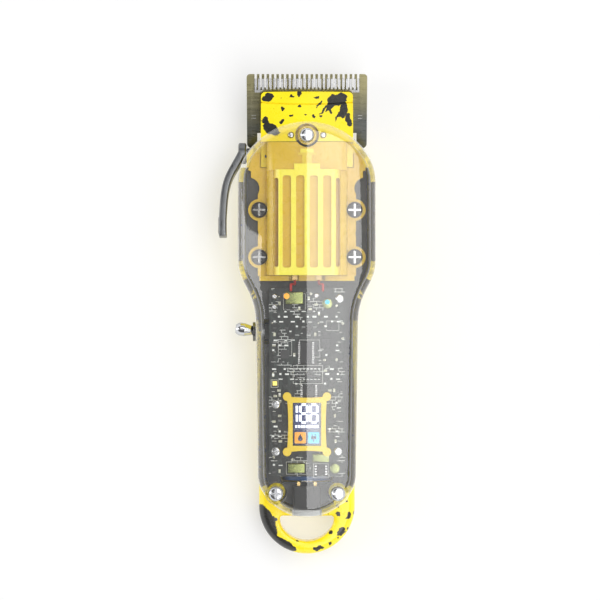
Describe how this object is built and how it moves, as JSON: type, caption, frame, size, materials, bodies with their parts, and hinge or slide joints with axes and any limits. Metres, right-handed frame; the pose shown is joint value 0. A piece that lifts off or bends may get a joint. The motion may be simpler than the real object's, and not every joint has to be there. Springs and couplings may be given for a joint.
{
  "type": "hair clipper",
  "caption": "Cordless hair clipper: clear front over motor and circuit board, toothed steel blade set, side taper lever, toggle switch and hanging loop.",
  "frame": {"origin": "on the flat back that the clipper lies on, in its middle plane, at about the middle of its length", "axes": "+Z out of the clear front cover, +Y towards the blade's teeth, +X to the right seen from the front with the blade up"},
  "size_m": [0.0589, 0.1806, 0.037],
  "materials": {
    "yellow_shell": "glossy yellow with near-black spatter",
    "clear_shell": "clear polished polycarbonate",
    "dark_plastic": "dark grey moulded",
    "black_plastic": "black moulded",
    "amber_plastic": "amber yellow moulded",
    "brass": "machined",
    "chrome": "polished",
    "black_screw": "black oxide",
    "motor_steel": "plated",
    "winding": "enamelled copper",
    "steel": "machined",
    "white_plastic": "moulded acetal",
    "gold_blade": "gold-grey coated, brushed",
    "steel_blade": "ground steel",
    "gunmetal": "satin gunmetal",
    "board": "near-black solder mask",
    "chip_plastic": "epoxy moulded",
    "tinned": "tinned",
    "can_green": "green-gold can",
    "resistor": "ceramic with tinned ends",
    "ceramic_chip": "ceramic",
    "inductor": "ferrite",
    "led": "clear lens",
    "yellow_trim": "glossy yellow",
    "screen": "dark blue screen",
    "digit_white": "lit white",
    "icon_orange": "lit orange",
    "icon_blue": "lit blue",
    "window_glass": "clear pane",
    "battery_wrap": "shrink wrap",
    "grey_plate": "satin grey",
    "wire_red": "silicone insulation",
    "wire_black": "silicone insulation"
  },
  "bodies": {
    "housing": {"rear_housing": "yellow_shell", "front_cover": "clear_shell", "head_cover": "yellow_shell", "drive_bridge": "yellow_trim", "cover_inserts": "brass", "cover_screws": "chrome", "head_screws": "chrome", "mid_chassis": "dark_plastic", "motor_cage": "amber_plastic", "cage_screws": "black_screw", "motor_can": "motor_steel", "motor_end_cap": "black_plastic", "motor_terminals": "brass", "motor_bush": "brass", "arm_pivot_pin": "steel", "fixed_blade": "gold_blade", "blade_screws": "steel", "lever_washer": "steel", "switch_collar": "gunmetal", "switch_body": "black_plastic", "power_mark": "black_plastic", "pcb": "board", "pcb_screws": "chrome", "pcb_posts": "steel", "pcb_ics": "chip_plastic", "pcb_pins": "tinned", "pcb_capacitors": "can_green", "pcb_resistors": "resistor", "pcb_smd_capacitors": "ceramic_chip", "pcb_inductors": "inductor", "status_led": "led", "display_bezel": "yellow_trim", "display_module": "screen", "display_digits": "digit_white", "display_gauge": "digit_white", "oil_icon": "icon_orange", "plug_icon": "icon_blue", "display_window": "window_glass", "battery_cell": "battery_wrap", "battery_tabs": "tinned", "battery_rails": "dark_plastic", "charge_socket": "black_plastic", "charge_pins": "brass", "socket_plate": "grey_plate", "motor_leads": "wire_red", "battery_leads": "wire_black"},
    "rotor": {"rotor_core": "winding", "motor_shaft": "steel", "eccentric_hub": "brass", "eccentric_roller": "steel"},
    "drive_arm": {"drive_arm": "white_plastic", "arm_bushing": "brass"},
    "cutter_carriage": {"cutter_guide": "black_plastic", "tension_spring": "steel"},
    "cutter": {"moving_blade": "steel_blade", "blade_driver": "white_plastic"},
    "taper_lever": {"taper_lever": "gunmetal", "lever_cam": "white_plastic", "lever_screw": "chrome"},
    "power_toggle": {"power_toggle": "chrome"}
  },
  "joints": [
    {"name": "rotor_spin", "type": "hinge", "parent": "housing", "child": "rotor", "pos_m": [0, 0.0245, 0.0175], "axis": [0, 1, 0], "continuous": true},
    {"name": "drive_arm_swing", "type": "hinge", "parent": "housing", "child": "drive_arm", "pos_m": [0, 0.07512, 0.01933], "axis": [0, -0.342, 0.9397], "range_deg": [-7.7, 7.7]},
    {"name": "taper_slide", "type": "slide", "parent": "housing", "child": "cutter_carriage", "axis": [0, -0.9397, -0.342], "range_m": [0, 0.0017]},
    {"name": "cutter_stroke", "type": "slide", "parent": "cutter_carriage", "child": "cutter", "axis": [1, 0, 0], "range_m": [-0.001, 0.001]},
    {"name": "taper_lever_turn", "type": "hinge", "parent": "housing", "child": "taper_lever", "pos_m": [-0.0243, 0.0665, 0.0136], "axis": [1, 0, 0], "range_deg": [0, 24]},
    {"name": "power_toggle_tilt", "type": "hinge", "parent": "housing", "child": "power_toggle", "pos_m": [-0.0174, -0.0007, 0.0115], "axis": [0, 0, 1], "range_deg": [0, 14]}
  ],
  "couplings": [
    {"joint": "drive_arm_swing", "follows": "cutter_stroke", "rad_per_m": -133.33},
    {"joint": "taper_lever_turn", "follows": "taper_slide", "rad_per_m": 246.31}
  ]
}
